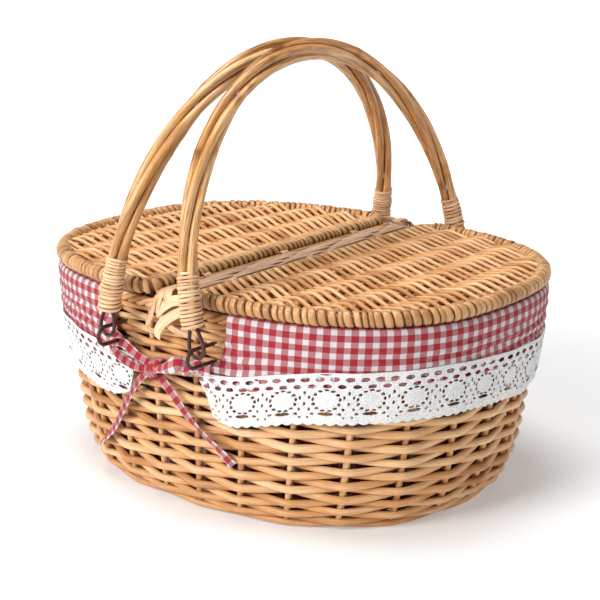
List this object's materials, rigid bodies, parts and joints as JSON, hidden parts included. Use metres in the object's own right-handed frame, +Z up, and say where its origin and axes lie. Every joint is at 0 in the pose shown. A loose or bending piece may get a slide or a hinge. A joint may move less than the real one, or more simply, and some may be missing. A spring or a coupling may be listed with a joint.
{
  "type": "wicker picnic basket",
  "caption": "Oval willow picnic basket with two hinged lids, two fold-down twisted handles, a gingham liner with lace edging and ribbon ties.",
  "frame": {"origin": "middle of the foot on the surface that the basket stands on", "axes": "+X along the basket's length, +Y towards the rear side, +Z up"},
  "size_m": [0.42, 0.369, 0.3522],
  "materials": {
    "willow": "peeled willow rods, satin, with darker and lighter rods mixed",
    "willow_rim": "pale flat skeins and rim rods, satin",
    "handle_rod": "peeled willow rods with lengthwise grain, lightly varnished",
    "flat_skein": "flat split willow skeins, matt, slightly pink",
    "gingham": "red and white checked cotton, plain weave",
    "gingham_ribbon": "the same checked cotton sewn into a narrow tie",
    "lace": "white crocheted cotton lace",
    "brown_wire": "dark brown coated wire, satin"
  },
  "bodies": {
    "basket": {"foot_border": "willow", "base_weave": "willow", "base_sticks": "willow", "side_stakes": "willow", "side_weave": "willow", "rim_border": "willow_rim", "cross_bar_rods": "willow", "cross_bar_band": "flat_skein", "left_hinge_rod": "willow_rim", "right_hinge_rod": "willow_rim", "front_lashing": "flat_skein", "rear_lashing": "flat_skein", "liner": "gingham", "left_skirt": "gingham", "right_skirt": "gingham", "left_lace": "lace", "right_lace": "lace", "front_bow": "gingham_ribbon", "rear_bow": "gingham_ribbon", "front_tail_long": "gingham_ribbon", "front_tail_short": "gingham_ribbon", "front_left_staple": "brown_wire", "front_right_staple": "brown_wire", "rear_left_staple": "brown_wire", "rear_right_staple": "brown_wire"},
    "left_handle": {"left_handle_rod_1": "handle_rod", "left_handle_rod_2": "handle_rod", "left_handle_rod_3": "handle_rod", "left_handle_rod_4": "handle_rod", "left_handle_front_binding": "flat_skein", "left_handle_rear_binding": "flat_skein", "left_handle_front_link": "brown_wire", "left_handle_rear_link": "brown_wire"},
    "right_handle": {"right_handle_rod_1": "handle_rod", "right_handle_rod_2": "handle_rod", "right_handle_rod_3": "handle_rod", "right_handle_rod_4": "handle_rod", "right_handle_front_binding": "flat_skein", "right_handle_rear_binding": "flat_skein", "right_handle_front_link": "brown_wire", "right_handle_rear_link": "brown_wire"},
    "left_lid": {"left_lid_frame": "willow", "left_lid_rim_wrap": "willow_rim", "left_lid_ribs": "willow", "left_lid_weave": "willow", "left_lid_hinge_loops": "flat_skein"},
    "right_lid": {"right_lid_frame": "willow", "right_lid_rim_wrap": "willow_rim", "right_lid_ribs": "willow", "right_lid_weave": "willow", "right_lid_hinge_loops": "flat_skein"}
  },
  "joints": [
    {"name": "left_handle_hinge", "type": "hinge", "parent": "basket", "child": "left_handle", "pos_m": [-0.047, 0, 0.143], "axis": [0, -1, 0], "range_deg": [0, 140]},
    {"name": "right_handle_hinge", "type": "hinge", "parent": "basket", "child": "right_handle", "pos_m": [0.047, 0, 0.143], "axis": [0, 1, 0], "range_deg": [0, 140]},
    {"name": "left_lid_hinge", "type": "hinge", "parent": "basket", "child": "left_lid", "pos_m": [-0.014, 0, 0.171], "axis": [0, 1, 0], "range_deg": [0, 58]},
    {"name": "right_lid_hinge", "type": "hinge", "parent": "basket", "child": "right_lid", "pos_m": [0.014, 0, 0.171], "axis": [0, -1, 0], "range_deg": [0, 58]}
  ]
}
